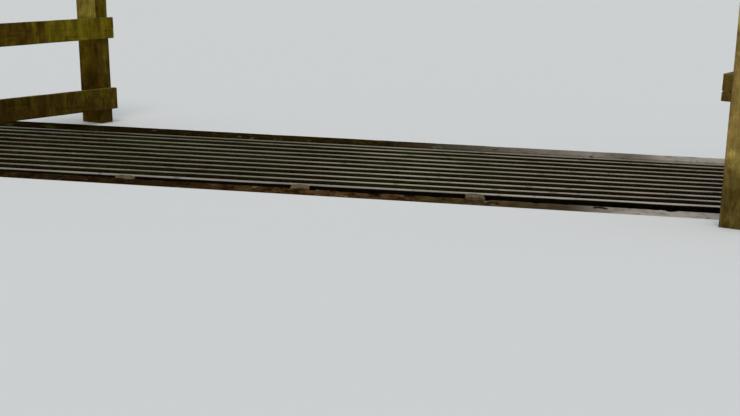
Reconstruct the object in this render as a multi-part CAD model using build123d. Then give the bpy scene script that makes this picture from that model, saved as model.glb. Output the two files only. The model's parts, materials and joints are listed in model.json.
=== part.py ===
from build123d import *
import math
import os

# Cattle grid: round steel bars welded on I-section bearers over a concrete pit,
# with a post and rail wing fence across the corner of each end.
# Millimetres, +X along the bars, +Y along the road, +Z up.
# The origin is on the underside of the pit floor, at the middle of the pit.

os.makedirs("parts", exist_ok=True)

# Bars
bar_count = 11
bar_diameter = 60.3
bar_wall = 5.0
bar_length = 5300.0
bar_pitch = 185.0
far_bar_pitch = 150.0
near_gap = 130.0
far_gap = 90.0
end_plate_thickness = 10.0
end_plate_depth = 100.0

# Bearers under the bars
bearer_count = 6
bar_overhang = 212.5
bearer_depth = 127.0
bearer_width = 105.0
bearer_flange = 10.0
bearer_web = 7.0
bearer_root_radius = 9.0
bearer_end_clearance = 8.0
bearing_plate_size = 90.0
bearing_plate_thickness = 12.0

# Concrete pit
pit_depth = 400.0
pit_end_clearance = 20.0
floor_thickness = 100.0
kerb_width = 215.0
kerb_rebate_width = 75.0
kerb_rebate_depth = 60.0
kerb_edge_radius = 12.0
ledge_width = 110.0
end_wall_thickness = 200.0
near_kerb_left_rise = 12.0
near_kerb_right_fall = 24.0
drain_bore = 110.0
drain_floor_clearance = 20.0

# Grout packs left on the bearer ends beside the near kerb
pack_bearers = (1, 2, 3)
pack_width = 112.0
pack_height = 62.0
pack_bar_clearance = 0.5
pack_taper = 6.0

# Wing fences
post_size = 149.0
post_height = 1350.0
post_top_chamfer = 10.0
fence_bay = 2700.0
left_fence_inset = 934.0
right_fence_inset = 1040.0
post_wall_clearance = 20.0
left_lean_angle = 5.7
right_lean_angle = 0.6
left_rail_count = 3
right_rail_count = 2
rail_height = 145.0
rail_thickness = 50.0
left_rail_overhang = -7.5
right_rail_overhang = 4.0
left_rail_spacing = 482.0
right_rail_spacing = 534.0
left_lowest_rail_level = 158.0
right_lowest_rail_level = 714.0
left_lowest_rail_rise = 28.0
footing_width = 420.0
footing_drop = 60.0
footing_cover = 90.0

# How far a cutting solid runs past what it cuts, and how near a found edge lies to its place
cut_margin = 1.0
match_tolerance = 0.5

# Levels and places that follow from the sizes above
bar_radius = bar_diameter / 2
bearer_pitch = (bar_length - 2 * bar_overhang) / (bearer_count - 1)
kerb_level = floor_thickness + pit_depth
bar_axis_level = kerb_level - bar_radius
bearer_top = kerb_level - bar_diameter
bearer_bottom = bearer_top - bearer_depth
ledge_level = bearer_bottom - bearing_plate_thickness
bar_span = bar_pitch * (bar_count - 2) + far_bar_pitch
pit_width = bar_span + bar_diameter + near_gap + far_gap
near_face = -pit_width / 2
far_face = pit_width / 2
wall_thickness = kerb_width + kerb_rebate_width
pit_half_length = bar_length / 2 + end_plate_thickness + pit_end_clearance
outer_half_length = pit_half_length + end_wall_thickness
outer_half_width = pit_width / 2 + wall_thickness
wall_height = kerb_level - floor_thickness


def bar_place(index):
    """Y of a bar's axis, counted from the near kerb; the far bar stands closer."""
    first = near_face + near_gap + bar_radius
    if index < bar_count - 1:
        return first + index * bar_pitch
    return first + (index - 1) * bar_pitch + far_bar_pitch


def bearer_place(index):
    """X of a bearer's web, counted from the left."""
    return (index - (bearer_count - 1) / 2) * bearer_pitch


def block(x_low, x_high, y_low, y_high, z_low, z_high):
    """A box between two corners."""
    size = (x_high - x_low, y_high - y_low, z_high - z_low)
    middle = ((x_low + x_high) / 2, (y_low + y_high) / 2, (z_low + z_high) / 2)
    return Pos(*middle) * Box(*size)


def make_bar(index):
    """One hollow bar lying along X."""
    ring = Circle(bar_radius) - Circle(bar_radius - bar_wall)
    start = Plane(
        origin=(-bar_length / 2, bar_place(index), bar_axis_level),
        x_dir=(0, 1, 0),
        z_dir=(1, 0, 0),
    )
    return extrude(start * ring, bar_length)


def make_end_plate(side):
    """The flat that closes and joins the bar ends; side is -1 left or 1 right."""
    inner = bar_length / 2
    outer = inner + end_plate_thickness
    return block(
        min(side * inner, side * outer),
        max(side * inner, side * outer),
        bar_place(0) - bar_radius,
        bar_place(bar_count - 1) + bar_radius,
        kerb_level - end_plate_depth,
        kerb_level,
    )


def make_bearer(index):
    """An I-section with root fillets, running between the two kerb walls."""
    flange_inside = bearer_depth / 2 - bearer_flange
    section = Rectangle(bearer_width, bearer_depth)
    side_width = (bearer_width - bearer_web) / 2
    for side in (-1, 1):
        hollow = Pos(side * (bearer_web + side_width) / 2, 0) * Rectangle(side_width, 2 * flange_inside)
        section -= hollow
    roots = [
        corner
        for corner in section.vertices()
        if abs(abs(corner.X) - bearer_web / 2) < match_tolerance
        and abs(abs(corner.Y) - flange_inside) < match_tolerance
    ]
    section = fillet(roots, bearer_root_radius)
    length = pit_width - 2 * bearer_end_clearance
    start = Plane(
        origin=(bearer_place(index), -length / 2, bearer_bottom + bearer_depth / 2),
        x_dir=(-1, 0, 0),
        z_dir=(0, 1, 0),
    )
    beam = extrude(start * section, length)
    for side in (-1, 1):
        plate_middle = side * (length - bearing_plate_size) / 2
        plate = Pos(bearer_place(index), plate_middle, ledge_level + bearing_plate_thickness / 2) * Box(
            bearer_width + 2 * bearing_plate_thickness, bearing_plate_size, bearing_plate_thickness
        )
        beam += plate
    return beam


def kerb_wall(side):
    """A long wall with the bearer ledge inside and the road rebate outside."""
    inner = side * pit_width / 2
    ledge = inner - side * ledge_width
    kerb_back = inner + side * kerb_width
    outer = side * outer_half_width
    rise = near_kerb_left_rise if side < 0 else 0
    top = kerb_level + rise
    rebate_level = kerb_level - kerb_rebate_depth
    outline = [
        (ledge, floor_thickness),
        (outer, floor_thickness),
        (outer, rebate_level),
        (kerb_back, rebate_level),
        (kerb_back, top),
        (inner, top),
        (inner, ledge_level),
        (ledge, ledge_level),
    ]
    profile = make_face(Polyline(*outline, close=True))
    start = Plane(origin=(-outer_half_length, 0, 0), x_dir=(0, 1, 0), z_dir=(1, 0, 0))
    return extrude(start * profile, 2 * outer_half_length)


def settled_top():
    """The wedge above the near kerb, which has settled towards its right end."""
    left = kerb_level + near_kerb_left_rise
    right = kerb_level - near_kerb_right_fall
    above = left + near_kerb_left_rise + cut_margin
    outline = [
        (-outer_half_length, left),
        (outer_half_length, right),
        (outer_half_length, above),
        (-outer_half_length, above),
    ]
    wedge = make_face(Polyline(*outline, close=True))
    start = Plane(origin=(0, -outer_half_width - cut_margin, 0), x_dir=(1, 0, 0), z_dir=(0, -1, 0))
    return extrude(start * wedge, -(wall_thickness + ledge_width + 2 * cut_margin))


def soften_kerb(wall, side):
    """Rounds the long top edges of a kerb."""
    inner = side * pit_width / 2
    kerb_back = inner + side * kerb_width
    lowest = kerb_level - near_kerb_right_fall - cut_margin
    edges = [
        edge
        for edge in wall.edges()
        if edge.length > outer_half_length
        and edge.center().Z > lowest
        and min(abs(edge.center().Y - inner), abs(edge.center().Y - kerb_back)) < match_tolerance
    ]
    return fillet(edges, kerb_edge_radius)


def make_near_wall():
    return soften_kerb(kerb_wall(-1) - settled_top(), -1)


def make_far_wall():
    return soften_kerb(kerb_wall(1), 1)


def make_end_wall(side, drained):
    """A short wall between the long ones; the drained one has the outlet near the floor."""
    inner = side * pit_half_length
    outer = side * outer_half_length
    half_gap = pit_width / 2 - ledge_width
    stem = block(
        min(inner, outer), max(inner, outer), -half_gap, half_gap, floor_thickness, ledge_level
    )
    head = block(
        min(inner, outer), max(inner, outer), near_face, far_face, ledge_level, kerb_level
    )
    wall = stem + head
    if drained:
        outlet_level = floor_thickness + drain_floor_clearance + drain_bore / 2
        outlet = Pos((inner + outer) / 2, 0, outlet_level) * Rot(0, 90, 0) * Cylinder(
            drain_bore / 2, end_wall_thickness + 2 * cut_margin
        )
        wall -= outlet
    return wall


def make_floor():
    return block(
        -outer_half_length, outer_half_length, -outer_half_width, outer_half_width, 0, floor_thickness
    )


def make_pack(bearer_index):
    """Hardened grit and grout on a bearer's flange, between the near kerb and the first bar."""
    low_y = near_face
    high_y = bar_place(0) - bar_radius - pack_bar_clearance
    depth = high_y - low_y
    middle_y = (low_y + high_y) / 2
    base = Plane(origin=(bearer_place(bearer_index), middle_y, bearer_top))
    top = Plane(origin=(bearer_place(bearer_index), middle_y, bearer_top + pack_height))
    sections = [
        base * Rectangle(pack_width, depth),
        top * Rectangle(pack_width - pack_taper, depth),
    ]
    return loft(sections)


# Each wing fence is worked out in its own frame: the far post of the left fence and the near
# post of the right one stand beside a kerb wall, and the other post beside an end wall.
post_reach = post_size / 2 * math.sqrt(2)
kerb_post_offset = outer_half_width + post_reach + post_wall_clearance
end_post_offset = outer_half_length + post_reach + post_wall_clearance


class WingFence:
    """Places the posts, rails and footings of one fence; side is -1 left or 1 right.

    The kerb-side post stands the inset short of the pit's outer end.
    """

    def __init__(self, side, inset, lean, rail_count, spacing, overhang, lowest_rail, lowest_rise):
        self.side = side
        self.rail_count = rail_count
        self.spacing = spacing
        self.overhang = overhang
        self.lowest_rail = lowest_rail
        self.lowest_rise = lowest_rise
        setout = outer_half_length - inset
        self.skew = math.degrees(math.asin((end_post_offset - setout) / fence_bay))
        turn = -self.skew if side < 0 else 180 - self.skew
        start = Pos(side * setout, -side * kerb_post_offset, 0)
        self.frame = start * Rot(0, 0, turn) * Rot(0, -lean, 0)

    def post_places(self):
        """Distance of each post from the kerb-side post, along the fence."""
        return {"kerb_post": 0.0, "end_post": -fence_bay}

    def post(self, place):
        foot = 2 * post_size
        tall = kerb_level + post_height + foot
        column = Pos(0, place, (tall - 2 * foot) / 2) * Box(post_size, post_size, tall)
        top_edges = column.faces().sort_by(Axis.Z)[-1].edges()
        column = chamfer(top_edges, post_top_chamfer)
        column = self.frame * column
        reach = 2 * (outer_half_length + outer_half_width)
        ground = Pos(0, 0, -reach / 2) * Box(2 * reach, 2 * reach, reach)
        return column - ground

    def rail(self, number):
        """A plank on the road side of both posts; the lowest may rise towards the end post."""
        length = fence_bay + post_size + 2 * self.overhang
        middle_x = (post_size + rail_thickness) / 2
        rise = self.lowest_rise if number == 1 else 0
        level = kerb_level + self.lowest_rail + (number - 1) * self.spacing + rise / 2
        slope = math.degrees(math.atan(rise / fence_bay))
        plank = Rot(-slope, 0, 0) * Box(rail_thickness, length, rail_height)
        return self.frame * Pos(middle_x, -fence_bay / 2, level) * plank

    def footing(self, name, place):
        """A concrete block cast round the foot of a post, against the pit."""
        foot = self.frame * Pos(0, place, 0)
        spot = foot.position
        top = kerb_level - footing_drop
        if name == "kerb_post":
            face = -self.side * outer_half_width
            back = face - self.side * (2 * (post_reach + post_wall_clearance) + footing_cover)
            body = block(
                spot.X - footing_width / 2,
                spot.X + footing_width / 2,
                min(face, back),
                max(face, back),
                0,
                top,
            )
        else:
            face = self.side * outer_half_length
            back = face + self.side * (2 * (post_reach + post_wall_clearance) + footing_cover)
            body = block(
                min(face, back),
                max(face, back),
                spot.Y - footing_width / 2,
                spot.Y + footing_width / 2,
                0,
                top,
            )
        return body - self.post(place)


fences = {
    "left": WingFence(
        -1,
        left_fence_inset,
        left_lean_angle,
        left_rail_count,
        left_rail_spacing,
        left_rail_overhang,
        left_lowest_rail_level,
        left_lowest_rail_rise,
    ),
    "right": WingFence(
        1,
        right_fence_inset,
        right_lean_angle,
        right_rail_count,
        right_rail_spacing,
        right_rail_overhang,
        right_lowest_rail_level,
        0,
    ),
}

shapes = {}
for bar_index in range(bar_count):
    shapes[f"bar_{bar_index + 1:02d}"] = make_bar(bar_index)
for bearer_index in range(bearer_count):
    shapes[f"bearer_{bearer_index + 1}"] = make_bearer(bearer_index)
shapes["end_plate_left"] = make_end_plate(-1)
shapes["end_plate_right"] = make_end_plate(1)
shapes["pit_floor"] = make_floor()
shapes["near_kerb_wall"] = make_near_wall()
shapes["far_kerb_wall"] = make_far_wall()
shapes["end_wall_left"] = make_end_wall(-1, True)
shapes["end_wall_right"] = make_end_wall(1, False)
for pack_index in pack_bearers:
    shapes[f"grout_pack_{pack_index}"] = make_pack(pack_index)
for fence_name, fence in fences.items():
    for post_name, post_place in fence.post_places().items():
        shapes[f"{fence_name}_{post_name}"] = fence.post(post_place)
        shapes[f"{fence_name}_{post_name}_footing"] = fence.footing(post_name, post_place)
    for rail_number in range(1, fence.rail_count + 1):
        shapes[f"{fence_name}_rail_{rail_number}"] = fence.rail(rail_number)

for name, shape in shapes.items():
    export_step(shape, f"parts/{name}.step")
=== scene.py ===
"""A cattle grid: worn steel bars over a concrete pit, with a post and rail wing fence at each end."""

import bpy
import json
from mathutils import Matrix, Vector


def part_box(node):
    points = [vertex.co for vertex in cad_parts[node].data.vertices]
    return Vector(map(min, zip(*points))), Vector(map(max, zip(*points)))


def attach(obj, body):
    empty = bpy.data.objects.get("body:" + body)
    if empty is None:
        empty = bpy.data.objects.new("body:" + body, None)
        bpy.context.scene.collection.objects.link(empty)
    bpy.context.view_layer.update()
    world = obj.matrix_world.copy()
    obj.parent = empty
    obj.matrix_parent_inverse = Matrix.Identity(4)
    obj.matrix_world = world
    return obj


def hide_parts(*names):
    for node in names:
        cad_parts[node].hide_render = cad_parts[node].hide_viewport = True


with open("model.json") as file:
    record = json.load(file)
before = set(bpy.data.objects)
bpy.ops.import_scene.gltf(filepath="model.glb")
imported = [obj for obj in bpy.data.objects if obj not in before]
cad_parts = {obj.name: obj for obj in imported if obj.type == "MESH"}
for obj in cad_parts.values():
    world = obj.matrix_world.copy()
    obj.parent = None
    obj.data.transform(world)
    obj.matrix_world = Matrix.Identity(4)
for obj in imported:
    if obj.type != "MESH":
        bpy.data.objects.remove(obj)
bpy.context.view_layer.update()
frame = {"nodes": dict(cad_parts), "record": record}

import json
import math
import random

import bpy
import numpy as np
from mathutils import Matrix, Vector, noise

bl_info = {
    "name": "Cattle grid",
    "version": (1, 0, 0),
    "blender": (4, 5, 0),
    "location": "3D View > Sidebar > Cattle grid",
    "description": "Builds and finishes a road cattle grid with its wing fences",
    "category": "Object",
}

BODY = "root"
FENCES = ("left", "right")
SPLICED_RAIL = "left_rail_2"
TOLERANCE = 0.0005

# Edges that are softened on the solids that stay as they are
STEEL_EDGE = 0.0012
CONCRETE_EDGE = 0.006

# Weld beads on the bearers: sides, share of the flange that they cross, place beside a bar's axis
BEAD_SIDES = 8
WELD_SHARE = 0.92
WELD_OFFSET = 0.0145
WELD_RISE = 0.0035

# Weld beads round the bars' ends, in degrees, and how far they lie in, down and into the tube
END_WELD_START = 110
END_WELD_TURN = 320
END_WELD_INSET = 0.003
END_WELD_DROP = 0.0035
END_WELD_SINK = 0.001

# Bolts at both ends of a bearer's foot, which is its lower flange and bearing plate
FOOT_THICKNESS = 0.022
BOLT_SPREAD = 0.032
BOLT_INSET = 0.045
BOLT_RADIUS = 0.011
BOLT_HEIGHT = 0.009

# Kerb tops: radius of the edges, the band that settles as a whole, and the reach of chips at an arris
KERB_EDGE_RADIUS = 0.010
KERB_SETTLED_BAND = 0.012
ARRIS_REACH = 0.045

# Broken spots in the near kerb's top: middle along X, distance from the pit's edge, half sizes
NEAR_KERB_SCARS = ((1.172, 0.052, 0.040, 0.044), (0.580, 0.112, 0.036, 0.040))
SCAR_DEPTH = 0.010

# Where each kerb is clean and carries painted light along X, from, to and how softly, and a dirty
# stretch of the far kerb
NEAR_KERB_CLEAN_LIT = (1.15, 2.60, 0.20)
FAR_KERB_CLEAN_LIT = (1.20, 4.00, 1.30)
FAR_KERB_SOILED = (1.45, 1.78)

# Grid of squares on each face of a pack
PACK_SQUARES = 18

# Timber edges, extra rings at its ends and at the spliced rail's groove, and wear at its ends
TIMBER_EDGE_RADIUS = 0.003
TIMBER_OUTLINE_STEP = 0.007
END_RINGS = (0.001, 0.002, 0.004, 0.008)
END_WEAR = 0.0012
END_WEAR_REACH = 0.004
SPLICE_RINGS = (-0.004, -0.002, 0.0, 0.002, 0.004)
SPLICE_DEPTH = 0.014

# Drying cracks: how many to a timber, how far they wander and half their width
CHECK_COUNT = 5
CHECK_DRIFT = 0.010
CHECK_HALF_WIDTH = 0.004

# Nails: shares of a rail's height, how far one leans past the other and how far they sink in
NAIL_LEVELS = (0.27, 0.73)
NAIL_STAGGER = 0.03
NAIL_SINK = 0.0028

# Floor rings as shares of the way outwards, and how many times sooner than its rim the floor is level
FLOOR_RINGS = (0.0, 0.02, 0.06, 0.2, 1.0)
FLOOR_LEVELLING = 12

# The photograph's viewpoint: place, degrees down, to the right and rolled, focal length and width
# in pixels
CAMERA_PLACE = (-0.120, -10.864, 2.012)
CAMERA_PITCH = 9.282
CAMERA_YAW = 0.161
CAMERA_ROLL = 3.082
FOCAL_PIXELS = 1800.0
PHOTO_PIXELS = 740.0
SENSOR_WIDTH = 36.0

# Light: the sky's colour, and the soft lamp's colour and turn in degrees
SKY_COLOUR = (0.86, 0.93, 1.0, 1.0)
LAMP_COLOUR = (1.0, 0.96, 0.90)
LAMP_TURN = (34, 18, -30)


# Places read from the frame

def cad_points(node):
    """The vertices of a CAD node as an array."""
    mesh = frame["nodes"][node].data
    flat = np.zeros(len(mesh.vertices) * 3)
    mesh.vertices.foreach_get("co", flat)
    return flat.reshape(-1, 3)


def named(start, end=""):
    """The CAD nodes whose names begin and end alike, in order."""
    return sorted(name for name in frame["nodes"] if name.startswith(start) and name.endswith(end))


def mount_place(name):
    """The place of one of the record's mounts."""
    for mount in frame["record"]["mounts"]:
        if mount["name"] == name:
            return Vector(mount["pos_m"])
    raise RuntimeError(f"the record has no mount named {name}")


def side_normals(node):
    """Two unit normals of a straight timber's long faces, the widest face first."""
    mesh = frame["nodes"][node].data
    found = []
    for face in mesh.polygons:
        for entry in found:
            if abs(entry[0].dot(face.normal)) > 0.99:
                entry[1] += face.area
                break
        else:
            found.append([face.normal.copy(), face.area])
    found.sort(key=lambda entry: -entry[1])
    first = found[0][0]
    second = next(entry[0] for entry in found if abs(entry[0].dot(first)) < 0.05)
    return first, second


def timber_frame(node):
    """A straight timber's axes (length, width, thickness) and its low and high extents on them."""
    thin, wide = side_normals(node)
    along = thin.cross(wide).normalized()
    if along.z < -0.5 or (abs(along.z) <= 0.5 and along.y < 0):
        along = -along
    if abs(along.z) < 0.5 and wide.z < 0:
        wide = -wide
    thin = wide.cross(along).normalized()
    axes = np.array([along, wide, thin])
    reach = cad_points(node) @ axes.T
    return axes, reach.min(0), reach.max(0)


def bar_axis(bar):
    """The Y and Z of a bar's axis."""
    low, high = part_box(bar)
    return (low.y + high.y) / 2, (low.z + high.z) / 2


def kerb_tops(wall):
    """The levels of a kerb wall's top at its left and right ends."""
    low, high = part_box(wall)
    points = cad_points(wall)
    band = 0.02
    ends = (points[:, 0] < low.x + band, points[:, 0] > high.x - band)
    return [points[end][:, 2].max() for end in ends]


def kerb_back(wall, rebate_mount):
    """Where a kerb's top ends along Y, from the road rebate behind it."""
    low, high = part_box(wall)
    outer = low.y if low.y < 0 else high.y
    return 2 * mount_place(rebate_mount).y - outer


def scar_reach(x, outwards, scar):
    """0 in a scar's middle and 1 on its rim, from numbers or wires.

    The second place is the distance outwards from the pit's edge.
    """
    middle_x, inset, half_length, half_width = scar
    along = (x - middle_x) * (1 / half_length)
    across = (outwards - inset) * (1 / half_width)
    return along * along + across * across


BAR_NODES = named("bar_")
BEARER_NODES = named("bearer_")
PACK_NODES = named("grout_pack_")
KERB_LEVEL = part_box(BAR_NODES[0])[1].z
BAR_RADIUS = (KERB_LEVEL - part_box(BAR_NODES[0])[0].z) / 2
PIT_HALF_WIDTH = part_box("end_wall_left")[1].y
LEDGE_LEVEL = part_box(BEARER_NODES[0])[0].z
BEARER_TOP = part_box(BEARER_NODES[0])[1].z
BEARER_FOOT = LEDGE_LEVEL + FOOT_THICKNESS
FIRST_BAR_PLACE = bar_axis(BAR_NODES[0])[0]
LAST_BAR_PLACE = bar_axis(BAR_NODES[-1])[0]


# Sizes and colours that a user would change

def length_setting(name, description, default):
    """A length in the panel's settings."""
    return bpy.props.FloatProperty(name=name, description=description, default=default, unit="LENGTH")


def colour_setting(name, description, default):
    """A colour in the panel's settings."""
    return bpy.props.FloatVectorProperty(
        name=name, description=description, default=default, size=3, subtype="COLOR")


class BarSettings(bpy.types.PropertyGroup):
    sides: bpy.props.IntProperty(name="Sides", description="Faces round a bar", default=40, min=12)
    step: length_setting("Step", "Length of a bar's segments", 0.04)
    dent: length_setting("Dents", "Deepest dent in a bar", 0.0012)
    # The worn top's colour is wear plus a painted highlight
    worn: colour_setting("Worn top", "Colour of the tops that wheels keep clean", (0.400, 0.350, 0.245))
    # The dark side's colour is dirt plus painted shade
    shaded: colour_setting("Dark side", "Colour of the dirty sides", (0.004, 0.0025, 0.001))
    moss: colour_setting("Moss", "Colour of the moss on the bars", (0.012, 0.014, 0.002))


class SteelworkSettings(bpy.types.PropertyGroup):
    bead: length_setting("Weld bead", "Radius of a weld bead", 0.0055)
    rust: colour_setting("Rust", "Colour of the rusty bearers", (0.090, 0.038, 0.016))
    scale: colour_setting("Dark scale", "Colour of the bearers' dark scale", (0.022, 0.014, 0.009))


class ConcreteSettings(bpy.types.PropertyGroup):
    step: length_setting("Step", "Spacing of the wall mesh", 0.024)
    roughness: length_setting("Unevenness", "Depth of hollows and chips", 0.008)
    pale: colour_setting("Pale", "Clean concrete", (0.340, 0.295, 0.245))
    dirt: colour_setting("Near dirt", "Damp soil on the near kerb", (0.029, 0.0150, 0.0052))
    far_dirt: colour_setting("Far dirt", "Damp soil on the far kerb", (0.017, 0.010, 0.002))
    moss: colour_setting("Moss", "Moss on the concrete", (0.022, 0.026, 0.004))
    grit: colour_setting("Grit", "Set grit of the packs", (0.150, 0.108, 0.062))


class TimberSettings(bpy.types.PropertyGroup):
    step: length_setting("Step", "Spacing of the mesh along a timber", 0.015)
    fray: length_setting("Fray", "Depth of the weathered grain", 0.0022)
    check_depth: length_setting("Check depth", "Depth of the drying cracks", 0.008)
    worn_top: length_setting("Worn top", "How far a post's top edges are worn", 0.010)
    nail_radius: length_setting("Nail head", "Radius of a nail's head", 0.006)
    # Damp timber is also darkened as painted shade; dry timber is also paler as painted light
    damp: colour_setting("Damp timber", "Olive, shaded timber of the left fence", (0.068, 0.038, 0.002))
    olive: colour_setting("Algae", "Olive algae on the timbers", (0.152, 0.112, 0.003))
    dry_and_lit: colour_setting("Dry timber", "Bleached timber of the right fence", (0.218, 0.148, 0.040))


class StageSettings(bpy.types.PropertyGroup):
    floor_reach: length_setting("Floor reach", "Half the floor's side", 80.0)
    floor_drop: length_setting("Floor drop", "How far the floor lies under the kerb tops", 0.003)
    floor_colour: colour_setting("Floor", "Colour of the pale floor", (0.66, 0.65, 0.63))
    sky_strength: bpy.props.FloatProperty(
        name="Sky strength", description="Brightness of the sky", default=0.75)
    lamp_strength: bpy.props.FloatProperty(
        name="Lamp strength", description="Brightness of the soft lamp", default=1.1)
    lamp_width: bpy.props.FloatProperty(
        name="Lamp width", description="Angle that the lamp spans in the sky",
        default=math.radians(24), subtype="ANGLE")


# Shader maths

class Wire:
    """A node's output that takes part in Python expressions."""

    def __init__(self, paint, socket):
        self.paint = paint
        self.socket = socket

    def maths(self, operation, *values):
        return self.paint.node("ShaderNodeMath", {"operation": operation}, dict(enumerate(values)))

    def __add__(self, other):
        return self.maths("ADD", self, other)

    def __radd__(self, other):
        return self.maths("ADD", other, self)

    def __sub__(self, other):
        return self.maths("SUBTRACT", self, other)

    def __rsub__(self, other):
        return self.maths("SUBTRACT", other, self)

    def __mul__(self, other):
        return self.maths("MULTIPLY", self, other)

    def __rmul__(self, other):
        return self.maths("MULTIPLY", other, self)

    def largest(self, other):
        return self.maths("MAXIMUM", self, other)

    def smallest(self, other):
        return self.maths("MINIMUM", self, other)

    def between(self, low, high):
        """Rises smoothly from 0 at low to 1 at high."""
        return self.paint.node(
            "ShaderNodeMapRange", {"interpolation_type": "SMOOTHSTEP"}, {0: self, 1: low, 2: high})

    def band(self, low, high, soft):
        """1 between low and high, with soft ends."""
        return self.between(low - soft, low + soft) * (1 - self.between(high - soft, high + soft))


class Paint:
    """A material that is written as expressions on wires."""

    def __init__(self, name):
        self.material = bpy.data.materials.new(name)
        self.material.use_nodes = True
        self.tree = self.material.node_tree
        self.shader = self.tree.nodes["Principled BSDF"]

    def node(self, kind, settings=None, inputs=None, output=0):
        """Makes a node, sets it, fills its sockets and gives one output back."""
        made = self.tree.nodes.new(kind)
        for key, value in (settings or {}).items():
            setattr(made, key, value)
        for key, value in (inputs or {}).items():
            self.feed(made.inputs[key], value)
        return Wire(self, made.outputs[output])

    def feed(self, socket, value):
        if isinstance(value, Wire):
            self.tree.links.new(value.socket, socket)
        elif socket.type == "RGBA" and len(value) == 3:
            socket.default_value = (*value, 1.0)
        else:
            socket.default_value = value

    def place(self, kind="Object"):
        return self.node("ShaderNodeTexCoord", output=kind)

    def attribute(self, name):
        return self.node("ShaderNodeAttribute", {"attribute_name": name}, output="Vector")

    def stretch(self, place, scale):
        return self.node("ShaderNodeVectorMath", {"operation": "MULTIPLY"}, {0: place, 1: scale})

    def parts(self, place):
        """The X, Y and Z of a vector."""
        split = self.node("ShaderNodeSeparateXYZ", inputs={0: place})
        outputs = split.socket.node.outputs
        return tuple(Wire(self, outputs[index]) for index in range(3))

    def up(self):
        """How far a surface faces up, from -1 to 1."""
        return self.parts(self.place("Normal"))[2]

    def cloud(self, place, scale, detail=4.0, roughness=0.55, distortion=0.0):
        return self.node("ShaderNodeTexNoise", inputs={
            "Vector": place, "Scale": scale, "Detail": detail, "Roughness": roughness,
            "Distortion": distortion})

    def grains(self, place, scale):
        return self.node("ShaderNodeTexVoronoi", inputs={"Vector": place, "Scale": scale})

    def mix(self, factor, low, high):
        """A colour between two colours."""
        return self.node("ShaderNodeMix", {"data_type": "RGBA"}, {0: factor, 6: low, 7: high}, 2)

    def tone(self, factor, colour, shares):
        """A colour whose channels are multiplied by their shares where the factor is 1."""
        return self.mix(factor, colour, self.stretch(colour, shares))

    def finish(self, colour, roughness, height=None, depth=0.001, metallic=0.0, shine=0.1):
        """Connects the shader; height is a wire from 0 to 1 and depth its size in metres."""
        self.shader.inputs["Specular IOR Level"].default_value = shine
        self.feed(self.shader.inputs["Base Color"], colour)
        self.feed(self.shader.inputs["Roughness"], roughness)
        self.feed(self.shader.inputs["Metallic"], metallic)
        if height is not None:
            bump = self.node("ShaderNodeBump", inputs={
                "Strength": 1.0, "Distance": depth, "Height": height})
            self.feed(self.shader.inputs["Normal"], bump)
        return self.material


# Finishes

def shade(colour, share):
    """A plain colour made darker or lighter."""
    return tuple(channel * share for channel in colour)


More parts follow.
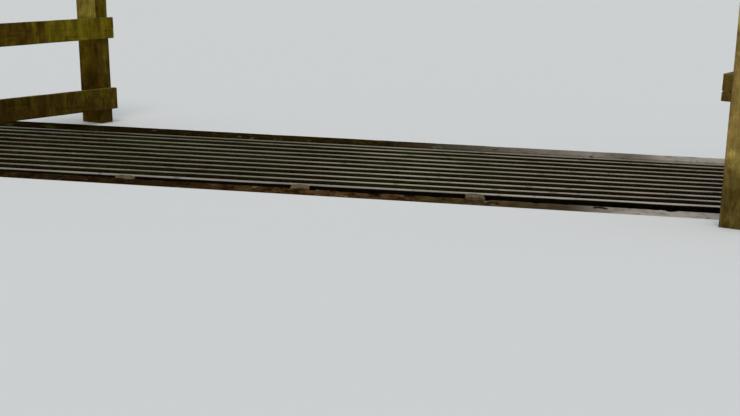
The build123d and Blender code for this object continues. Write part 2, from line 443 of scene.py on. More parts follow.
def paint_bar_steel(settings):
    """Galvanised tube: worn tops plus a painted highlight, dirt and painted shade on the sides, moss off
    the wheel tracks.
    """
    paint = Paint("worn_bar_steel")
    place = paint.place()
    x, y = paint.parts(place)[:2]
    up = paint.up()
    streaks = paint.cloud(paint.stretch(place, (2.2, 60.0, 60.0)), 1.0, 5.0, 0.6)
    blotches = paint.cloud(place, 2.6, 4.0, 0.6)
    specks = paint.cloud(place, 55.0, 3.0, 0.6)
    nearness = 1 - y.between(FIRST_BAR_PLACE, LAST_BAR_PLACE)
    first_bar = 1 - y.between(FIRST_BAR_PLACE + 0.05, FIRST_BAR_PLACE + 0.12)
    last_bar = y.between(LAST_BAR_PLACE - 0.10, LAST_BAR_PLACE - 0.05)
    rim = up + (streaks - 0.5) * 0.22 + (blotches - 0.5) * 0.12 + first_bar * 0.06
    # Pale band on each bar's top: wear, plus a painted highlight
    worn = rim.between(0.79, 0.93)
    # Along X: wear of the wheel track, plus painted shade towards the left end
    wheel_track_and_shade = x.between(-0.80, 0.10) * 0.5 + 0.45 - x.between(0.20, 0.60) * 0.14
    each_bar = paint.cloud(paint.stretch(place, (1.1, 5.5, 0.0)), 1.0, 3.0, 0.6)
    nicks = paint.cloud(paint.stretch(place, (9.0, 5.5, 0.0)), 1.0, 2.0, 0.5)
    shown = wheel_track_and_shade * (0.25 + 0.5 * blotches + 1.0 * each_bar)
    by_place = 0.76 + 0.40 * nearness - 0.16 * last_bar
    by_place = by_place + first_bar * (0.22 - x.band(-0.60, 0.45, 0.25) * 0.64)
    shown = shown * (1 - nicks.between(0.60, 0.68) * 0.45) * by_place
    worn_and_lit_tint = paint.mix(x.between(0.2, 1.2), settings.worn, (0.390, 0.328, 0.250))
    worn_and_lit_tint = paint.mix(first_bar, worn_and_lit_tint, (0.450, 0.400, 0.325))
    # Tone of the worn band: wheel wear, painted shade towards the left end, and brighter towards the
    # near bars
    clean = paint.mix(shown, (0.080, 0.066, 0.034), worn_and_lit_tint)
    bare = paint.mix(specks.between(0.62, 0.76) * 0.6, clean, (0.50, 0.48, 0.42))
    # Near-black sides: grime specks over a base of painted shade
    grime_and_shade = paint.mix(specks.between(0.35, 0.60), settings.shaded, (0.012, 0.007, 0.002))
    rust = blotches.between(0.58, 0.72) * specks.between(0.40, 0.60) * 0.6
    grime_and_shade = paint.mix(rust, grime_and_shade, (0.035, 0.013, 0.004))
    mossy = x.band(-3.2, -0.70, 0.35).largest(x.band(-0.25, 0.75, 0.2)) * y.between(
        FIRST_BAR_PLACE + 0.05, FIRST_BAR_PLACE + 0.12)
    growth = paint.cloud(paint.stretch(place, (1.6, 7.0, 7.0)), 2.4, 5.0, 0.65)
    moss = mossy * (growth + (0.5 - rim) * 0.12).between(0.44, 0.62) * up.between(0.05, 0.55)
    grime_and_shade = paint.mix(moss * 0.9, grime_and_shade, settings.moss)
    bare = paint.mix(moss * specks.between(0.35, 0.65) * 0.55, bare, (0.085, 0.088, 0.040))
    # The first bar's dark side is darker still: painted shade in the gap in front of it
    grime_and_shade = paint.tone(first_bar, grime_and_shade, (0.30, 0.25, 0.20))
    colour = paint.mix(worn, grime_and_shade, bare)
    roughness = 0.42 + 0.16 * blotches + 0.35 * (1 - worn)
    height = specks * 0.35 + streaks * 0.4 + moss * specks
    return paint.finish(colour, roughness, height, 0.0010, worn * 0.7, 0.02)


def paint_rusty_steel(settings):
    """Flaking rust over dark scale, for the bearers, the end plates and the welds."""
    paint = Paint("rusty_steel")
    place = paint.place()
    patches = paint.cloud(place, 9.0, 6.0, 0.65, 0.4)
    flakes = paint.grains(place, 90.0)
    specks = paint.cloud(place, 140.0, 3.0, 0.6)
    colour = paint.mix(patches.between(0.42, 0.62), settings.scale, settings.rust)
    colour = paint.mix(specks.between(0.55, 0.70) * 0.5, colour, (0.150, 0.070, 0.030))
    silt = paint.up().between(0.6, 0.95) * patches.between(0.35, 0.55) * 0.6
    colour = paint.mix(silt, colour, (0.050, 0.040, 0.022))
    roughness = 0.62 + 0.25 * patches
    return paint.finish(colour, roughness, flakes * 0.5 + specks * 0.5, 0.0016)


def paint_concrete(
        name, settings, dirt_colour, clean_lit_stretch, spot_share, contrast, scars=(), soiled=None):
    """Cast concrete, dirty and mossy except where wheels and rain keep it clean along X; that stretch
    also carries painted light.
    """
    paint = Paint(name)
    place = paint.place()
    x, y, z = paint.parts(place)
    up = paint.up()
    large = paint.cloud(place, 2.4, 5.0, 0.6)
    middle = paint.cloud(place, 11.0, 5.0, 0.62)
    fine = paint.cloud(place, 90.0, 4.0, 0.6)
    stones = paint.grains(place, 85.0)
    mottle = paint.cloud(paint.stretch(place, (15.0, 7.0, 7.0)), 1.0, 5.0, 0.68)
    # Pale share along X: clean concrete, plus painted light on the right-hand stretch
    share = x.band(*clean_lit_stretch)
    if soiled:
        share = share * (1 - x.band(*soiled, 0.10) * (0.25 + mottle * 0.6))
    clean = (share * (0.3 + 0.7 * large + 0.7 * mottle)).smallest(1.0)
    pale = paint.mix(stones.between(0.15, 0.55), (0.40, 0.36, 0.31), settings.pale)
    pale = paint.mix(mottle.between(0.46, 0.66) * 0.6, pale, (0.125, 0.108, 0.080))
    darker = shade(dirt_colour, 1 / contrast)
    lighter = shade(dirt_colour, contrast)
    dirt = paint.mix((mottle * 0.7 + fine * 0.3).between(0.40, 0.60), darker, lighter)
    # Dirt darker towards the left and paler towards the right: dirt plus painted shade on the left and
    # painted light on the right
    dirt = paint.mix((1 - x.between(-1.3, -0.3)) * 0.75, dirt, darker)
    dirt = paint.mix(x.between(0.0, 1.2) * 0.75, dirt, (0.056, 0.042, 0.022))
    dirt = paint.mix(mottle.between(0.62, 0.72) * spot_share, dirt, (0.150, 0.125, 0.090))
    colour = paint.mix(clean, dirt, pale)
    spots = paint.cloud(paint.stretch(place, (10.0, 6.0, 6.0)), 1.0, 2.0, 0.5)
    colour = paint.mix(spots.between(0.66, 0.71) * spot_share, colour, (0.270, 0.230, 0.175))
    colour = paint.mix((1 - spots.between(0.28, 0.34)) * 0.8, colour, darker)
    moss = (middle + (large - 0.5) * 0.6).between(0.58, 0.68)
    moss = moss * up.between(-0.2, 0.5) * (1 - clean * 0.9)
    tuft = paint.mix(fine.between(0.40, 0.65), settings.moss, (0.050, 0.060, 0.010))
    colour = paint.mix(moss * 0.9, colour, tuft)
    for scar in scars:
        reach = scar_reach(x, 0 - y - PIT_HALF_WIDTH, scar) + (fine - 0.5) * 0.8 + (mottle - 0.5) * 2.4
        # Each scar: a dark ring of painted shade in the hollow, and a pale middle of broken concrete
        colour = paint.mix(reach.band(0.20, 1.15, 0.12) * 0.95, colour, (0.010, 0.007, 0.003))
        colour = paint.mix((1 - reach.between(0.05, 0.26)) * 0.5, colour, settings.pale)
    buried = (1 - z.between(KERB_LEVEL - 0.075, KERB_LEVEL - 0.035)) * 0.75
    soil = paint.mix(middle, (0.060, 0.042, 0.026), (0.150, 0.118, 0.086))
    colour = paint.mix(buried, colour, soil)
    roughness = 0.74 + 0.2 * fine - 0.10 * (1 - clean)
    height = fine * 0.5 + stones * 0.3 + moss * fine * 0.8 + middle * 0.4
    return paint.finish(colour, roughness, height, 0.002, shine=0.0)


def paint_pit_concrete(settings):
    """The damp inside of the pit: silt on the floor, tide marks on the walls, soil outside."""
    paint = Paint("damp_pit_concrete")
    place = paint.place()
    z = paint.parts(place)[2]
    up = paint.up()
    large = paint.cloud(place, 1.7, 5.0, 0.6)
    middle = paint.cloud(place, 9.0, 5.0, 0.62)
    fine = paint.cloud(place, 80.0, 4.0, 0.6)
    wall = paint.mix(large, (0.075, 0.060, 0.042), (0.190, 0.165, 0.130))
    wall = paint.mix(middle.between(0.5, 0.7) * 0.5, wall, settings.dirt)
    tide = 1 - (z + (large - 0.5) * 0.1).between(0.16, 0.26)
    wall = paint.mix(tide * 0.8, wall, (0.040, 0.028, 0.016))
    silt = paint.mix(middle, (0.030, 0.020, 0.011), (0.085, 0.062, 0.036))
    silt_mask = up.between(0.7, 0.95) * (1 - z.between(0.30, 0.40))
    colour = paint.mix(silt_mask, wall, silt)
    top = z.between(KERB_LEVEL - 0.05, KERB_LEVEL - 0.01) * up.between(0.3, 0.8)
    crust = paint.mix(middle.between(0.42, 0.60), settings.dirt, settings.moss)
    colour = paint.mix(top, colour, crust)
    wet = silt_mask * large.between(0.45, 0.60)
    roughness = 0.82 - 0.62 * wet
    return paint.finish(colour, roughness, (middle + fine * 0.4) * (1 - wet), 0.004)


def paint_grit(settings):
    """Hardened grit and grout, pale brown with small stones."""
    paint = Paint("set_grit")
    place = paint.place()
    stones = paint.grains(place, 120.0)
    patches = paint.cloud(place, 28.0, 5.0, 0.6)
    colour = paint.mix(patches.between(0.35, 0.65), (0.075, 0.050, 0.025), settings.grit)
    colour = paint.mix(stones.between(0.10, 0.35), (0.23, 0.19, 0.14), colour)
    return paint.finish(colour, 0.8 + 0.15 * patches, stones * 0.7 + patches * 0.5, 0.003, shine=0.0)


def paint_timber(name, tint, olive, algae, damp_shaded_foot, post_growth=0.0, sunlit_from=3.0):
    """Sawn softwood with long grain, knots, stains that run down its faces and algae.

    Algae grow more towards the top and, by post_growth, towards the far kerb. Faces towards -Y carry a
    painted patch of sunlight above a height over the road, which by default lies over the timbers' tops.
    """
    paint = Paint(name)
    grain_place = paint.attribute("grain_place")
    place = paint.place()
    y, z = paint.parts(place)[1:]
    facing_y, up = paint.parts(paint.place("Normal"))[1:]
    rings = paint.node(
        "ShaderNodeTexWave", {"wave_type": "BANDS", "bands_direction": "Y", "wave_profile": "SAW"},
        {"Vector": paint.stretch(grain_place, (0.55, 1.0, 1.3)), "Scale": 18.0, "Distortion": 7.0,
         "Detail": 3.0, "Detail Scale": 1.2, "Detail Roughness": 0.6}, "Fac")
    fibre = paint.cloud(paint.stretch(grain_place, (5.0, 150.0, 150.0)), 1.0, 4.0, 0.65)
    patches = paint.cloud(place, 3.2, 4.0, 0.6)
    runs = paint.cloud(paint.stretch(place, (10.0, 10.0, 3.4)), 1.0, 5.0, 0.66, 0.5)
    broad_runs = paint.cloud(paint.stretch(place, (9.0, 9.0, 1.0)), 1.0, 3.0, 0.55)
    knots = 1 - paint.grains(paint.stretch(grain_place, (2.6, 9.0, 9.0)), 1.0).between(0.05, 0.14)
    growth = paint.cloud(place, 14.0, 5.0, 0.65)
    deep = shade(tint, 0.4)
    dark = shade(tint, 0.65)
    light = shade(tint, 1.35)
    colour = paint.mix(rings * 0.2 + fibre * 0.25 + growth.between(0.3, 0.7) * 0.55, dark, light)
    height = z.between(KERB_LEVEL + 0.10, KERB_LEVEL + 0.75)
    by_post = y.between(0.30, 1.30) - 0.5
    green = broad_runs + (height - 0.5) * 0.26 + (growth - 0.5) * 0.4 + (patches - 0.5) * 0.3
    green = green + by_post * post_growth
    green = green.between(0.56 - algae, 0.84 - algae)
    film = paint.mix(fibre.between(0.3, 0.6), shade(olive, 0.8), olive)
    colour = paint.mix(green * 0.9, colour, film)
    topside = up.between(0.7, 0.95) * growth.between(0.3, 0.6) * 0.8
    colour = paint.mix(topside, colour, (0.200, 0.165, 0.045))
    # Painted sunlight on faces towards -Y above a height
    sunlit_face = (0 - facing_y).between(0.5, 0.8) * z.between(
        KERB_LEVEL + sunlit_from, KERB_LEVEL + sunlit_from + 0.06)
    painted_sunlight = (0.325, 0.250, 0.038 + tint[2] * 0.85)
    colour = paint.mix(sunlit_face * fibre.between(0.2, 0.5) * 0.85, colour, painted_sunlight)
    colour = paint.tone(runs.between(0.47, 0.63) * 0.75, colour, (0.50, 0.44, 0.45))
    colour = paint.tone((1 - runs.between(0.34, 0.49)) * 0.8, colour, (1.45, 1.55, 1.40))
    mottle = paint.cloud(paint.stretch(place, (13.0, 13.0, 8.0)), 1.0, 4.0, 0.6, 0.8)
    colour = paint.tone(mottle.between(0.52, 0.64) * 0.6, colour, (1.55, 1.60, 1.70))
    colour = paint.tone((1 - mottle.between(0.34, 0.44)) * 0.7, colour, (0.60, 0.52, 0.40))
    colour = paint.mix(fibre.between(0.24, 0.42) * 0.2 + 0.8, deep, colour)
    colour = paint.mix(knots * 0.8, colour, shade(tint, 0.25))
    # Darker at the foot: damp, plus painted shade
    foot = (1 - (z + (growth - 0.5) * 0.2).between(KERB_LEVEL + 0.24, KERB_LEVEL + 0.40)) * damp_shaded_foot
    colour = paint.tone(foot, colour, (0.30, 0.30, 0.20))
    end = paint.node("ShaderNodeAttribute", {"attribute_name": "end_grain"}, output="Fac")
    cut_end = paint.mix(fibre.between(0.35, 0.65), (0.050, 0.026, 0.005), (0.130, 0.078, 0.014))
    colour = paint.mix(end, colour, cut_end)
    roughness = 0.72 + 0.2 * fibre
    relief = fibre * 0.6 + rings * 0.35 + growth * green * 0.5
    return paint.finish(colour, roughness, relief, 0.0012, shine=0.03)


# Meshes

def add_piece(name, shape, material, slot, *nodes, grain=None, ends=None):
    """Makes a smooth-shaded piece from points and faces; nodes are the CAD nodes it stands for."""
    points, faces = shape
    mesh = bpy.data.meshes.new(name)
    mesh.from_pydata([tuple(point) for point in points], [], faces)
    mesh.validate()
    mesh.update()
    if grain is not None:
        layer = mesh.attributes.new("grain_place", "FLOAT_VECTOR", "POINT")
        layer.data.foreach_set("vector", np.asarray(grain, float).ravel())
        layer = mesh.attributes.new("end_grain", "FLOAT", "POINT")
        layer.data.foreach_set("value", np.asarray(ends, float))
    mesh.materials.append(material)
    piece = bpy.data.objects.new(name, mesh)
    bpy.context.scene.collection.objects.link(piece)
    mesh.shade_smooth()
    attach(piece, BODY)
    if nodes:
        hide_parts(*nodes)


def coat(node, material, bevel):
    """Gives a carried-over CAD node its finish, and softens its edges."""
    piece = frame["nodes"][node]
    piece.data.materials.clear()
    piece.data.materials.append(material)
    softened = piece.modifiers.new("edge", "BEVEL")
    softened.width = bevel
    softened.segments = 2
    softened.limit_method = "ANGLE"
    softened.angle_limit = math.radians(35)


def skin_faces(rings, count):
    """Faces between rings of count points, with a fan at each end on two added points."""
    faces = []
    for low in range(0, (rings - 1) * count, count):
        for index in range(count):
            following = (index + 1) % count
            faces.append((low + index, low + following, low + count + following, low + count + index))
    start_point = rings * count
    last = start_point - count
    for index in range(count):
        following = (index + 1) % count
        faces.append((start_point, following, index))
        faces.append((start_point + 1, last + index, last + following))
    return faces


def circle_angles(count):
    """Evenly spaced angles round a circle."""
    return [2 * math.pi * index / count for index in range(count)]


def wobble(point, scale, seed):
    """Smooth noise from -1 to 1 at a point."""
    return noise.noise(Vector(point) * scale + Vector((seed, seed * 0.37, -seed)))


# Bars and their steelwork

def bar_mesh(node, number, settings):
    """Rings along a bar; dents only go inwards."""
    low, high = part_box(node)
    axis_y, axis_z = bar_axis(node)
    rings = round((high.x - low.x) / settings.step) + 1
    points = []
    for ring in range(rings):
        x = low.x + (high.x - low.x) * ring / (rings - 1)
        for angle in circle_angles(settings.sides):
            y = math.cos(angle)
            z = math.sin(angle)
            rough = wobble((x * 0.5, y * 0.6, z * 0.6), 3.0, number)
            knock = max(0.0, wobble((x * 2.2, y * 0.7, z * 0.7), 4.0, number + 30) - 0.42)
            radius = BAR_RADIUS - settings.dent * (0.15 + 0.15 * rough + 2.0 * knock)
            points.append((x, axis_y + y * radius, axis_z + z * radius))
    points.append((low.x, axis_y, axis_z))
    points.append((high.x, axis_y, axis_z))
    return points, skin_faces(rings, settings.sides)


def bead_rings(path, radius, seed):
    """A lumpy weld bead along a path of points, narrowing to its ends."""
    points = []
    for index, centre in enumerate(path):
        before = path[max(index - 1, 0)]
        after = path[min(index + 1, len(path) - 1)]
        along = (after - before).normalized()
        across = along.cross(Vector((0.13, 0.31, 0.94))).normalized()
        upward = across.cross(along)
        share = index / (len(path) - 1)
        swell = (0.55 + 0.45 * math.sin(math.pi * share)) * (1 + 0.16 * math.sin(index * 2.1 + seed))
        for angle in circle_angles(BEAD_SIDES):
            outwards = math.cos(angle) * across + math.sin(angle) * upward
            points.append(centre + radius * swell * outwards)
    points.append(path[0])
    points.append(path[-1])
    return points, skin_faces(len(path), BEAD_SIDES)


def join_shapes(shapes):
    """Several (points, faces) as one."""
    points = []
    faces = []
    for some_points, some_faces in shapes:
        start = len(points)
        points.extend(some_points)
        faces.extend(tuple(index + start for index in face) for face in some_faces)
    return points, faces


def bearer_welds(bearer, settings):
    """A bead on both sides of each bar along the bearer's top flange."""
    corners = cad_points(bearer)
    flange = corners[corners[:, 2] > BEARER_TOP - TOLERANCE][:, 0]
    middle = (flange.min() + flange.max()) / 2
    half_bead = Vector(((flange.max() - flange.min()) / 2 * WELD_SHARE, 0, 0))
    shapes = []
    for number, bar in enumerate(BAR_NODES):
        axis_y = bar_axis(bar)[0]
        for side in (-1, 1):
            centre = Vector((middle, axis_y + side * WELD_OFFSET, BEARER_TOP + WELD_RISE))
            path = [centre + half_bead * (step / 8 - 1) for step in range(17)]
            shapes.append(bead_rings(path, settings.bead, number + side))
    return join_shapes(shapes)


def bearer_bolts(bearer):
    """Hexagonal bolt heads that hold the bearer's lower flange down at both its ends."""
    low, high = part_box(bearer)
    middle = (low.x + high.x) / 2
    shapes = []
    for side, end in ((1, low.y), (-1, high.y)):
        for across in (-1, 1):
            spot = Vector((middle + across * BOLT_SPREAD, end + side * BOLT_INSET, BEARER_FOOT))
            shapes.append(bolt_head(spot))
    return join_shapes(shapes)


def bolt_head(spot):
    """A hexagonal head on a washer, from its reach, whether it is round there, and its level."""
    profile = (
        (1.25, True, -0.1), (1.25, True, 0.18), (1.0, False, 0.18), (1.0, False, 0.9), (0.84, True, 1.0))
    sides = 24
    points = []
    for reach, is_round, level in profile:
        for angle in circle_angles(sides):
            flat = math.cos(math.pi / 6) / math.cos((angle + math.pi / 6) % (math.pi / 3) - math.pi / 6)
            out = BOLT_RADIUS * reach * (1.0 if is_round else flat)
            offset = (out * math.cos(angle), out * math.sin(angle), BOLT_HEIGHT * level)
            points.append(spot + Vector(offset))
    points.append(spot - Vector((0, 0, 0.1 * BOLT_HEIGHT)))
    points.append(spot + Vector((0, 0, BOLT_HEIGHT)))
    return points, skin_faces(len(profile), sides)


def end_welds(side, settings):
    """A ring bead where each bar meets an end plate."""
    shapes = []
    for number, bar in enumerate(BAR_NODES):
        low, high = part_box(bar)
        axis_y, axis_z = bar_axis(bar)
        x = high.x if side > 0 else low.x
        radius = BAR_RADIUS - END_WELD_SINK
        path = []
        for step in range(29):
            angle = math.radians(END_WELD_START + END_WELD_TURN * step / 28)
            path.append(Vector((
                x - side * END_WELD_INSET,
                axis_y + math.cos(angle) * radius,
                axis_z + math.sin(angle) * radius - END_WELD_DROP,
            )))
        shapes.append(bead_rings(path, settings.bead * 0.7, number))
    return join_shapes(shapes)


# Concrete

def rounded_outline(corners, radius, spacing):
    """Points round a closed outline with small rounded corners, evenly spaced."""
    outline = []
    count = len(corners)
    for index, corner in enumerate(corners):
        corner = Vector(corner)
        following = Vector(corners[(index + 1) % count])
        start = corner + (Vector(corners[index - 1]) - corner).normalized() * radius
        onward = (following - corner).normalized() * radius
        end = corner + onward
        for step in range(4):
            share = step / 3
            towards_corner = start.lerp(corner, share)
            outline.append(towards_corner.lerp(corner.lerp(end, share), share))
        finish = following - onward
        pieces = max(1, round((finish - end).length / spacing))
        outline.extend(end.lerp(finish, step / pieces) for step in range(1, pieces))
    return outline


def inward_normals(outline):
    """Unit vectors into a closed outline at each of its points."""
    area = sum(a.x * b.y - b.x * a.y for a, b in zip(outline, outline[1:] + outline[:1]))
    turn = 1 if area > 0 else -1
    normals = []
    for index in range(len(outline)):
        along = outline[(index + 1) % len(outline)] - outline[index - 1]
        normals.append(turn * Vector((-along.y, along.x)).normalized())
    return normals


def kerb_mesh(node, rebate_mount, settings, seed, scars=()):
    """A kerb wall: its section along X, hollowed and chipped, with the settled top it has."""
    low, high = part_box(node)
    side = -1 if low.y < 0 else 1
    outer, ledge = (low.y, high.y) if side < 0 else (high.y, low.y)
    inner = side * PIT_HALF_WIDTH
    back = kerb_back(node, rebate_mount)
    rebate_level = mount_place(rebate_mount).z
    top_left, top_right = kerb_tops(node)
    rings = round((high.x - low.x) / settings.step) + 1
    section = [
        (ledge, low.z), (outer, low.z), (outer, rebate_level), (back, rebate_level),
        (back, top_left), (inner, top_left), (inner, LEDGE_LEVEL), (ledge, LEDGE_LEVEL),
    ]
    outline = rounded_outline(section, KERB_EDGE_RADIUS, settings.step)
    normals = inward_normals(outline)
    made = []
    for ring in range(rings):
        share = ring / (rings - 1)
        x = low.x + (high.x - low.x) * share
        top = top_left + (top_right - top_left) * share
        for drawn, inwards in zip(outline, normals):
            above = (drawn.y - rebate_level) / (top_left - KERB_SETTLED_BAND - rebate_level)
            above = min(1.0, max(0.0, above))
            spot = Vector((drawn.x, drawn.y + (top - top_left) * above))
            arris = max(0.0, 1 - (spot - Vector((inner, top))).length / ARRIS_REACH)
            hollow = 0.5 + 0.5 * wobble((x, spot.x, spot.y), 5.0, seed)
            chip = max(0.0, wobble((x, spot.x, spot.y), 17.0, seed + 9) - 0.10)
            depth = settings.roughness * (0.22 * hollow + 0.25 * chip + 2.2 * chip * arris)
            for scar in scars:
                reach = scar_reach(x, abs(spot.x) - PIT_HALF_WIDTH, scar)
                depth += SCAR_DEPTH * above * max(0.0, 1 - reach)
            place = spot + inwards * depth
            made.append((x, place.x, place.y))
    made.append((low.x, (inner + back) / 2, (top_left + low.z) / 2))
    made.append((high.x, (inner + back) / 2, (top_right + low.z) / 2))
    faces = skin_faces(rings, len(outline))
    if side > 0:
        faces = [tuple(reversed(face)) for face in faces]
    return made, faces


def pack_mesh(node, seed):
    """A rough lump that fills its CAD block."""
    low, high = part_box(node)
    centre = (low + high) / 2
    half = (high - low) / 2
    count = PACK_SQUARES
    made = []
    index_of = {}
    faces = []

    def point(u, v, w):
        key = (u, v, w)
        if key not in index_of:
            place = Vector((u / count * 2 - 1, v / count * 2 - 1, w / count * 2 - 1))
            height = (place.z + 1) / 2
            lump = 0.5 + 0.5 * wobble(place, 1.7, seed)
            pebble = max(0.0, wobble(place, 5.5, seed + 5))
            corner = max(0.0, abs(place.x) + height - 1.55) * 0.35
            made.append((
                centre.x + half.x * place.x * (1 - 0.05 * height - 0.06 * lump - 0.05 * pebble),
                centre.y + half.y * place.y * (1 - 0.02 * lump - 0.02 * pebble),
                centre.z + half.z * (place.z - height * (0.10 * lump + 0.10 * pebble + corner)),
            ))
            index_of[key] = len(made) - 1
        return index_of[key]

    for u in range(count):
        for v in range(count):
            for w in (0, count):
                square = [(u, v), (u + 1, v), (u + 1, v + 1), (u, v + 1)]
                if w == 0:
                    square.reverse()
                faces.append([point(a, b, w) for a, b in square])
                faces.append([point(w, a, b) for a, b in square])
                faces.append([point(b, w, a) for a, b in square])
    return made, faces


# Timber

def timber_mesh(node, settings, seed, worn_top=0.0, joint=None):
    """A weathered timber in its own axes: frayed grain, drying cracks and worn ends."""
    axes, low, high = timber_frame(node)
    width = high[1] - low[1]
    depth = high[2] - low[2]
    runs = list(np.linspace(low[0], high[0], round((high[0] - low[0]) / settings.step) + 1))
    for inset in END_RINGS:
        runs += [low[0] + inset, high[0] - inset]
    if joint is not None:
        runs += [joint + offset for offset in SPLICE_RINGS]
    runs.sort()
    corners = [(low[1], low[2]), (high[1], low[2]), (high[1], high[2]), (low[1], high[2])]
    outline = rounded_outline(corners, TIMBER_EDGE_RADIUS, TIMBER_OUTLINE_STEP)
    inwards = inward_normals(outline)
    chance = random.Random(seed)
    checks = [
        (
            low[1] + width * chance.uniform(0.2, 0.8),
            chance.uniform(low[0], high[0]),
            chance.uniform(0.12, 0.5),
        )
        for _ in range(CHECK_COUNT)
    ]
    made = []
    grain = []
    ends = []
    for run in runs:
        to_end = min(run - low[0], high[0] - run)
        wear = END_WEAR * max(0.0, 1 - to_end / END_WEAR_REACH)
        chamfer = max(0.0, worn_top - (high[0] - run))
        for spot, inward in zip(outline, inwards):
            fray = 0.5 + 0.5 * wobble((run * 0.35, spot.x * 3.2, spot.y * 3.2), 11.0, seed)
            cut = settings.fray * fray ** 2 + wear + chamfer * (1.02 + 0.4 * fray)
            for check_place, check_run, check_length in checks:
                drift = check_place + CHECK_DRIFT * math.sin(run * 5 + check_place * 40)
                close = max(0.0, 1 - abs(spot.x - drift) / CHECK_HALF_WIDTH)
                reach = max(0.0, 1 - abs(run - check_run) / check_length)
                cut += settings.check_depth * close * reach
            if joint is not None and abs(run - joint) < 2 * TOLERANCE:
                cut += SPLICE_DEPTH
            place = spot + inward * min(cut, 0.4 * depth)
            made.append((run, place.x, place.y))
            grain.append((run + seed, spot.x + seed * 0.7, spot.y))
            ends.append(float(to_end < TOLERANCE))
    middle = ((low[1] + high[1]) / 2, (low[2] + high[2]) / 2)
    for run in (low[0], high[0]):
        made.append((run, *middle))
        grain.append((run + seed, middle[0] + seed * 0.7, middle[1]))
        ends.append(1.0)
    points = np.array(made) @ axes
    points[:, 2] = np.clip(points[:, 2], 0.0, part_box(node)[1].z)
    return (points, skin_faces(len(runs), len(outline))), grain, ends


def crossing(post, rail):
    """Where a rail crosses a post, as its run along the rail, and the rail's axes and extents."""
    post_axes, post_low, post_high = timber_frame(post)
    axes, low, high = timber_frame(rail)
    post_middle = ((post_low + post_high) / 2) @ post_axes
    if post_middle.dot(axes[2]) > (low[2] + high[2]) / 2:
        axes[1:] = -axes[1:]
        low[1:], high[1:] = -high[1:], -low[1:]
    level = ((low + high) / 2)[1]
    rise = (level - post_middle.dot(axes[1])) / post_axes[0].dot(axes[1])
    on_post = post_middle + rise * post_axes[0]
    return on_post.dot(axes[0]), axes, low, high


def nail_shapes(post, rail, settings):
    """Two nail heads where a rail lies on a post, on the rail's road side."""
    run, axes, low, high = crossing(post, rail)
    shapes = []
    for level in NAIL_LEVELS:
        spot = np.array([
            run + NAIL_STAGGER * (level - 0.5),
            low[1] + (high[1] - low[1]) * level,
            high[2] - NAIL_SINK,
        ])
        shapes.append(nail_head(Vector(spot @ axes), Vector(axes[2]), settings.nail_radius))
    return shapes


def nail_head(spot, facing, radius):
    """A nail's head, which is a low dome."""
    across = facing.cross(Vector((0, 0, 1))).normalized()
    upward = across.cross(facing)
    sides = 14
    profile = ((1.0, -0.3), (1.0, 0.12), (0.86, 0.26), (0.5, 0.38))
    points = []
    for reach, height in profile:
        for angle in circle_angles(sides):
            outwards = math.cos(angle) * across + math.sin(angle) * upward
            points.append(spot + radius * (reach * outwards + height * facing))
    points.append(spot - 0.3 * radius * facing)
    points.append(spot + 0.42 * radius * facing)
    return points, skin_faces(len(profile), sides)


# Stage

def floor_mesh(settings):
    """A pale floor at road level, open over the grid, that follows the kerbs' settled tops."""
    low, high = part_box("near_kerb_wall")
    near_back = kerb_back("near_kerb_wall", "near_road_rebate")
    far_back = kerb_back("far_kerb_wall", "far_road_rebate")
    left_top, right_top = (top - settings.floor_drop for top in kerb_tops("near_kerb_wall"))
    level = KERB_LEVEL - settings.floor_drop
    inner = [
        (low.x, near_back, left_top), (high.x, near_back, right_top),
        (high.x, far_back, level), (low.x, far_back, level),
    ]
    outer = [(x * settings.floor_reach, y * settings.floor_reach, level)
             for x, y in ((-1, -1), (1, -1), (1, 1), (-1, 1))]
    points = []
    for share in FLOOR_RINGS:
        for inside, outside in zip(inner, outer):
            spot = Vector(inside).lerp(Vector(outside), share)
            spot.z = inside[2] + (level - inside[2]) * min(1.0, share * FLOOR_LEVELLING)
            points.append(spot)
    faces = []
    for start in range(0, 4 * len(FLOOR_RINGS) - 4, 4):
        for index in range(4):
            following = (index + 1) % 4
            faces.append((start + 4 + index, start + 4 + following, start + following, start + index))
    return points, faces


def add_camera():
    """The photograph's viewpoint."""
    data = bpy.data.cameras.new("camera")
    data.sensor_width = SENSOR_WIDTH
    data.lens = FOCAL_PIXELS / PHOTO_PIXELS * SENSOR_WIDTH
    data.clip_end = 500.0
    camera = bpy.data.objects.new("camera", data)
    camera.matrix_world = (
        Matrix.Translation(CAMERA_PLACE)
        @ Matrix.Rotation(-math.radians(CAMERA_YAW), 4, "Z")
        @ Matrix.Rotation(math.radians(90 - CAMERA_PITCH), 4, "X")
        @ Matrix.Rotation(math.radians(CAMERA_ROLL), 4, "Z")
    )
    bpy.context.scene.collection.objects.link(camera)
    bpy.context.scene.camera = camera


def add_lights(settings):
    """A pale sky and one large soft lamp."""
    world = bpy.data.worlds.new("sky")
    world.use_nodes = True
    sky = world.node_tree.nodes["Background"].inputs
    sky["Color"].default_value = SKY_COLOUR
    sky["Strength"].default_value = settings.sky_strength
    bpy.context.scene.world = world
    data = bpy.data.lights.new("soft_sun", "SUN")
    data.energy = settings.lamp_strength
    data.angle = settings.lamp_width
    data.color = LAMP_COLOUR
    lamp = bpy.data.objects.new("soft_sun", data)
    lamp.rotation_euler = [math.radians(angle) for angle in LAMP_TURN]
    bpy.context.scene.collection.objects.link(lamp)


# Operators

class CATTLEGRID_OT_bars(bpy.types.Operator):
    """Builds the eleven worn bars"""
    bl_idname = "cattlegrid.bars"
    bl_label = "Bars"

    def execute(self, context):
        settings = context.scene.cattlegrid_bars
        steel = paint_bar_steel(settings)
        for number, node in enumerate(BAR_NODES):
            shape = bar_mesh(node, number, settings)
            add_piece(f"worn_{node}", shape, steel, "bar_steel", node)
        return {"FINISHED"}


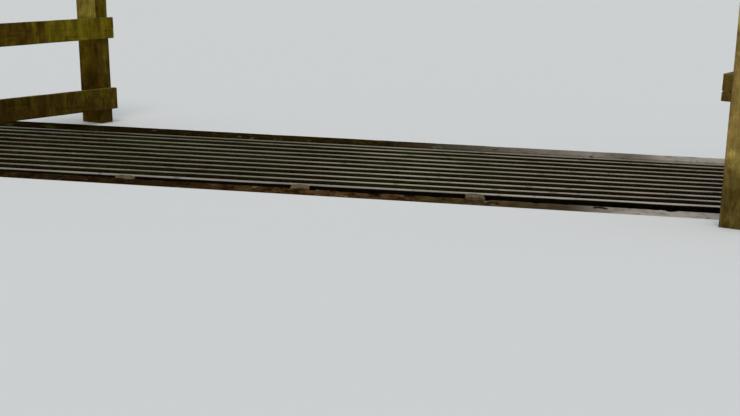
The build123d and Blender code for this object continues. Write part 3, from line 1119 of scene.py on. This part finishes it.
class CATTLEGRID_OT_steelwork(bpy.types.Operator):
    """Finishes the bearers and end plates and adds the welds"""
    bl_idname = "cattlegrid.steelwork"
    bl_label = "Steelwork"

    def execute(self, context):
        settings = context.scene.cattlegrid_steelwork
        rusty = paint_rusty_steel(settings)
        for node in BEARER_NODES + named("end_plate_"):
            coat(node, rusty, STEEL_EDGE)
        for number, bearer in enumerate(BEARER_NODES, start=1):
            shape = bearer_welds(bearer, settings)
            add_piece(f"bearer_welds_{number}", shape, rusty, "bearer_steel")
            shape = bearer_bolts(bearer)
            add_piece(f"bearer_bolts_{number}", shape, rusty, "bearer_steel")
        for name, side in (("left", -1), ("right", 1)):
            shape = end_welds(side, settings)
            add_piece(f"end_welds_{name}", shape, rusty, "bearer_steel")
        return {"FINISHED"}


class CATTLEGRID_OT_kerbs(bpy.types.Operator):
    """Builds the weathered kerb walls"""
    bl_idname = "cattlegrid.kerbs"
    bl_label = "Kerb walls"

    def execute(self, context):
        settings = context.scene.cattlegrid_concrete
        near_paint = paint_concrete(
            "near_kerb_concrete", settings, settings.dirt, NEAR_KERB_CLEAN_LIT,
            spot_share=0.4, contrast=3.2, scars=NEAR_KERB_SCARS)
        far_paint = paint_concrete(
            "far_kerb_concrete", settings, settings.far_dirt, FAR_KERB_CLEAN_LIT,
            spot_share=0.15, contrast=1.8, soiled=FAR_KERB_SOILED)
        for node, mount, material, seed, scars in (
            ("near_kerb_wall", "near_road_rebate", near_paint, 3, NEAR_KERB_SCARS),
            ("far_kerb_wall", "far_road_rebate", far_paint, 8, ()),
        ):
            shape = kerb_mesh(node, mount, settings, seed, scars)
            add_piece(f"weathered_{node}", shape, material, "concrete", node)
        return {"FINISHED"}


class CATTLEGRID_OT_pit(bpy.types.Operator):
    """Finishes the end walls, the pit floor and the post footings"""
    bl_idname = "cattlegrid.pit"
    bl_label = "Pit"

    def execute(self, context):
        damp = paint_pit_concrete(context.scene.cattlegrid_concrete)
        for node in named("end_wall_") + ["pit_floor"] + named("", "_footing"):
            coat(node, damp, CONCRETE_EDGE)
        return {"FINISHED"}


class CATTLEGRID_OT_packs(bpy.types.Operator):
    """Builds the lumps of set grit on the bearer ends"""
    bl_idname = "cattlegrid.packs"
    bl_label = "Grout packs"

    def execute(self, context):
        grit = paint_grit(context.scene.cattlegrid_concrete)
        for seed, node in enumerate(PACK_NODES, start=1):
            add_piece(f"rough_{node}", pack_mesh(node, seed * 4), grit, "grout", node)
        return {"FINISHED"}


class CATTLEGRID_OT_fences(bpy.types.Operator):
    """Builds the weathered posts and rails and their nails"""
    bl_idname = "cattlegrid.fences"
    bl_label = "Wing fences"

    def execute(self, context):
        settings = context.scene.cattlegrid_timber
        rusty = paint_rusty_steel(context.scene.cattlegrid_steelwork)
        olive = settings.olive
        # The left fence is damp and darker as painted shade; the right fence is dry and paler as painted
        # light
        finishes = {
            "left_post": paint_timber(
                "damp_shaded_posts", settings.damp, olive, algae=0.02, damp_shaded_foot=0.2, sunlit_from=0.68),
            "left_rail": paint_timber(
                "damp_shaded_rails", settings.damp, olive, algae=0.09, damp_shaded_foot=0.3, post_growth=0.36),
            "right_post": paint_timber(
                "dry_lit_posts", settings.dry_and_lit, olive, algae=-0.11, damp_shaded_foot=0.85, sunlit_from=1.02),
            "right_rail": paint_timber("dry_lit_rails", settings.dry_and_lit, olive, algae=-0.05, damp_shaded_foot=0.0),
        }
        for offset, fence in enumerate(FENCES):
            posts = [f"{fence}_kerb_post", f"{fence}_end_post"]
            rails = named(f"{fence}_rail_")
            for number, node in enumerate(posts + rails):
                joint = crossing(posts[0], node)[0] if node == SPLICED_RAIL else None
                worn_top = settings.worn_top if node in posts else 0.0
                finish = finishes[f"{fence}_post" if node in posts else f"{fence}_rail"]
                seed = offset * 10 + number
                shape, grain, ends = timber_mesh(node, settings, seed, worn_top, joint)
                add_piece(
                    f"weathered_{node}", shape, finish, "fence_timber", node, grain=grain, ends=ends)
            nails = []
            for post in posts:
                for rail in rails:
                    nails.extend(nail_shapes(post, rail, settings))
            add_piece(f"{fence}_fence_nails", join_shapes(nails), rusty, "bearer_steel")
        return {"FINISHED"}


class CATTLEGRID_OT_stage(bpy.types.Operator):
    """Adds the pale floor, the camera and the lights"""
    bl_idname = "cattlegrid.stage"
    bl_label = "Stage"

    def execute(self, context):
        settings = context.scene.cattlegrid_stage
        paint = Paint("pale_floor")
        paint.finish(settings.floor_colour, 0.9)
        points, faces = floor_mesh(settings)
        mesh = bpy.data.meshes.new("floor")
        mesh.from_pydata(points, [], faces)
        mesh.materials.append(paint.material)
        floor = bpy.data.objects.new("floor", mesh)
        context.scene.collection.objects.link(floor)
        add_camera()
        add_lights(settings)
        context.scene.view_settings.view_transform = "Standard"
        return {"FINISHED"}


class CATTLEGRID_PT_panel(bpy.types.Panel):
    """The steps of the build"""
    bl_idname = "CATTLEGRID_PT_panel"
    bl_label = "Cattle grid"
    bl_space_type = "VIEW_3D"
    bl_region_type = "UI"
    bl_category = "Cattle grid"

    def draw(self, context):
        for operator in OPERATORS:
            self.layout.operator(operator.bl_idname)


OPERATORS = (
    CATTLEGRID_OT_bars, CATTLEGRID_OT_steelwork, CATTLEGRID_OT_kerbs, CATTLEGRID_OT_pit,
    CATTLEGRID_OT_packs, CATTLEGRID_OT_fences, CATTLEGRID_OT_stage,
)
SETTINGS = {
    "cattlegrid_bars": BarSettings,
    "cattlegrid_steelwork": SteelworkSettings,
    "cattlegrid_concrete": ConcreteSettings,
    "cattlegrid_timber": TimberSettings,
    "cattlegrid_stage": StageSettings,
}


def register():
    for name, group in SETTINGS.items():
        bpy.utils.register_class(group)
        setattr(bpy.types.Scene, name, bpy.props.PointerProperty(type=group))
    for operator in OPERATORS:
        bpy.utils.register_class(operator)
    bpy.utils.register_class(CATTLEGRID_PT_panel)


def unregister():
    bpy.utils.unregister_class(CATTLEGRID_PT_panel)
    for operator in reversed(OPERATORS):
        bpy.utils.unregister_class(operator)
    for name, group in SETTINGS.items():
        delattr(bpy.types.Scene, name)
        bpy.utils.unregister_class(group)


def main():
    register()
    bpy.ops.cattlegrid.bars()
    bpy.ops.cattlegrid.steelwork()
    bpy.ops.cattlegrid.kerbs()
    bpy.ops.cattlegrid.pit()
    bpy.ops.cattlegrid.packs()
    bpy.ops.cattlegrid.fences()
    bpy.ops.cattlegrid.stage()


if __name__ == "__main__":
    main()
